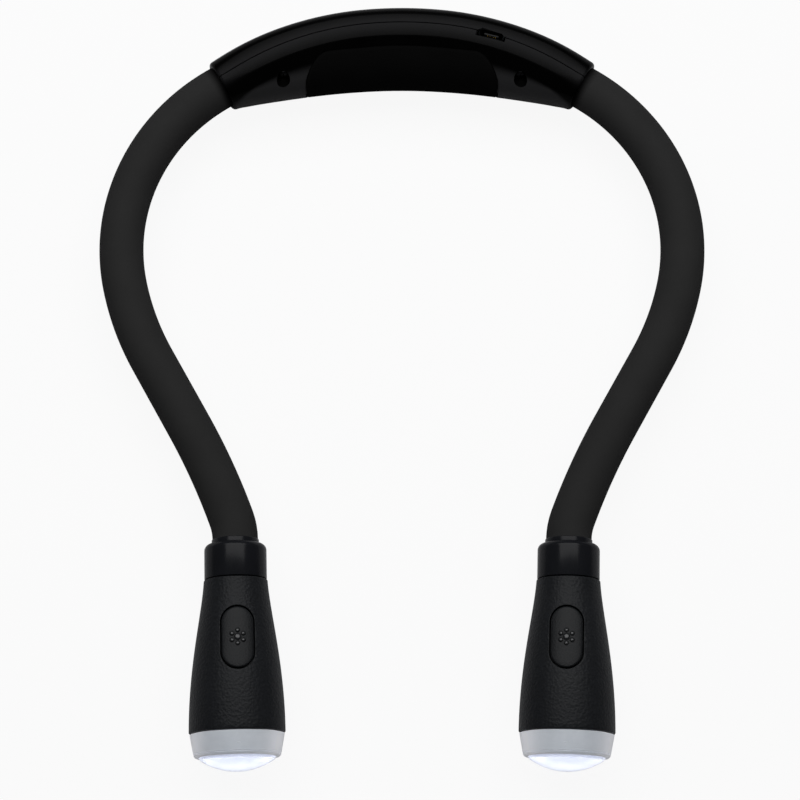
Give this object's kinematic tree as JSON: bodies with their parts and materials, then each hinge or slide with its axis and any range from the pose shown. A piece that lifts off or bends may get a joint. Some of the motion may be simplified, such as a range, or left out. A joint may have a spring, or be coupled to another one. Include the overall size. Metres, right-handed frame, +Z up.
{
  "type": "neck reading light",
  "caption": "Neck-worn reading light: a curved battery housing with a soft neck pad, flexible arms and lamp heads with a button each.",
  "frame": {"origin": "centre of the footprint at the bottom, with the light lying flat", "axes": "+Y from the lamp heads to the battery housing, +Z up out of the buttons and the charging socket, +X to the right"},
  "size_m": [0.1866, 0.2358, 0.028],
  "materials": {
    "back_shell_gloss": "polished black moulding",
    "neck_shell_gloss": "satin black moulding",
    "neck_pad_soft": "matte soft pad",
    "screw_steel": "blackened screw",
    "cell_wrap": null,
    "circuit_board": "solder-masked board",
    "socket_steel": "plated sheet",
    "inner_plastic": "plain black moulding",
    "sleeve_rubber": "matte rubber",
    "core_wire": "soft wire bundle",
    "collar_gloss": "polished black moulding",
    "head_textured": "fine spark-eroded grain",
    "button_textured": "fine grain",
    "ring_frosted": "frosted translucent moulding",
    "lens_clear": "clear domed lens",
    "reflector_bright": "vacuum-plated",
    "emitter_phosphor": "phosphor over an LED"
  },
  "bodies": {
    "housing": {"back_shell": "back_shell_gloss", "neck_shell": "neck_shell_gloss", "neck_pad": "neck_pad_soft", "housing_screw_1": "screw_steel", "housing_screw_2": "screw_steel", "housing_screw_3": "screw_steel", "housing_screw_4": "screw_steel", "battery_cell": "cell_wrap", "charge_board": "circuit_board", "usb_socket": "socket_steel", "usb_tongue": "inner_plastic", "arm_clamp_left": "inner_plastic", "sleeve_root_left": "sleeve_rubber", "core_root_left": "core_wire", "arm_clamp_right": "inner_plastic", "sleeve_root_right": "sleeve_rubber", "core_root_right": "core_wire"},
    "near_arm_left": {"sleeve_near_left": "sleeve_rubber", "core_near_left": "core_wire", "sleeve_mid_left": "sleeve_rubber", "core_mid_left": "core_wire"},
    "far_arm_left": {"sleeve_far_left": "sleeve_rubber", "core_far_left": "core_wire", "sleeve_head_left": "sleeve_rubber", "core_head_left": "core_wire"},
    "head_left": {"collar_left": "collar_gloss", "head_body_left": "head_textured", "tact_switch_left": "inner_plastic", "switch_board_left": "circuit_board", "lens_ring_left": "ring_frosted", "lens_left": "lens_clear", "reflector_left": "reflector_bright", "led_board_left": "circuit_board", "led_emitter_left": "emitter_phosphor"},
    "button_left": {"button_left": "button_textured", "switch_plunger_left": "inner_plastic"},
    "near_arm_right": {"sleeve_near_right": "sleeve_rubber", "core_near_right": "core_wire", "sleeve_mid_right": "sleeve_rubber", "core_mid_right": "core_wire"},
    "far_arm_right": {"sleeve_far_right": "sleeve_rubber", "core_far_right": "core_wire", "sleeve_head_right": "sleeve_rubber", "core_head_right": "core_wire"},
    "head_right": {"collar_right": "collar_gloss", "head_body_right": "head_textured", "tact_switch_right": "inner_plastic", "switch_board_right": "circuit_board", "lens_ring_right": "ring_frosted", "lens_right": "lens_clear", "reflector_right": "reflector_bright", "led_board_right": "circuit_board", "led_emitter_right": "emitter_phosphor"},
    "button_right": {"button_right": "button_textured", "switch_plunger_right": "inner_plastic"}
  },
  "joints": [
    {"name": "spread_left", "type": "hinge", "parent": "housing", "child": "near_arm_left", "pos_m": [-0.07218, 0.08217, 0.014], "axis": [0, 0, -1], "range_deg": [-8, 40], "deforming": ["sleeve_root_left", "core_root_left"]},
    {"name": "lift_left", "type": "hinge", "parent": "near_arm_left", "child": "far_arm_left", "pos_m": [-0.08423, 0.02582, 0.014], "axis": [-0.9658, -0.2592, 0], "range_deg": [-40, 40], "deforming": ["sleeve_mid_left", "core_mid_left"]},
    {"name": "nod_left", "type": "hinge", "parent": "far_arm_left", "child": "head_left", "pos_m": [-0.05677, -0.02954, 0.014], "axis": [-0.9995, -0.0314, 0], "range_deg": [-45, 45], "deforming": ["sleeve_head_left", "core_head_left"]},
    {"name": "press_left", "type": "slide", "parent": "head_left", "child": "button_left", "axis": [-0.1114, -0.0035, -0.9938], "range_m": [0, 0.0006], "stiffness_N_per_m": 1200, "springref_m": -0.0004},
    {"name": "spread_right", "type": "hinge", "parent": "housing", "child": "near_arm_right", "pos_m": [0.07218, 0.08217, 0.014], "axis": [0, 0, 1], "range_deg": [-8, 40], "deforming": ["sleeve_root_right", "core_root_right"]},
    {"name": "lift_right", "type": "hinge", "parent": "near_arm_right", "child": "far_arm_right", "pos_m": [0.08423, 0.02582, 0.014], "axis": [-0.9658, 0.2592, 0], "range_deg": [-40, 40], "deforming": ["sleeve_mid_right", "core_mid_right"]},
    {"name": "nod_right", "type": "hinge", "parent": "far_arm_right", "child": "head_right", "pos_m": [0.05677, -0.02954, 0.014], "axis": [-0.9995, 0.0314, 0], "range_deg": [-45, 45], "deforming": ["sleeve_head_right", "core_head_right"]},
    {"name": "press_right", "type": "slide", "parent": "head_right", "child": "button_right", "axis": [0.1114, -0.0035, -0.9938], "range_m": [0, 0.0006], "stiffness_N_per_m": 1200, "springref_m": -0.0004}
  ]
}
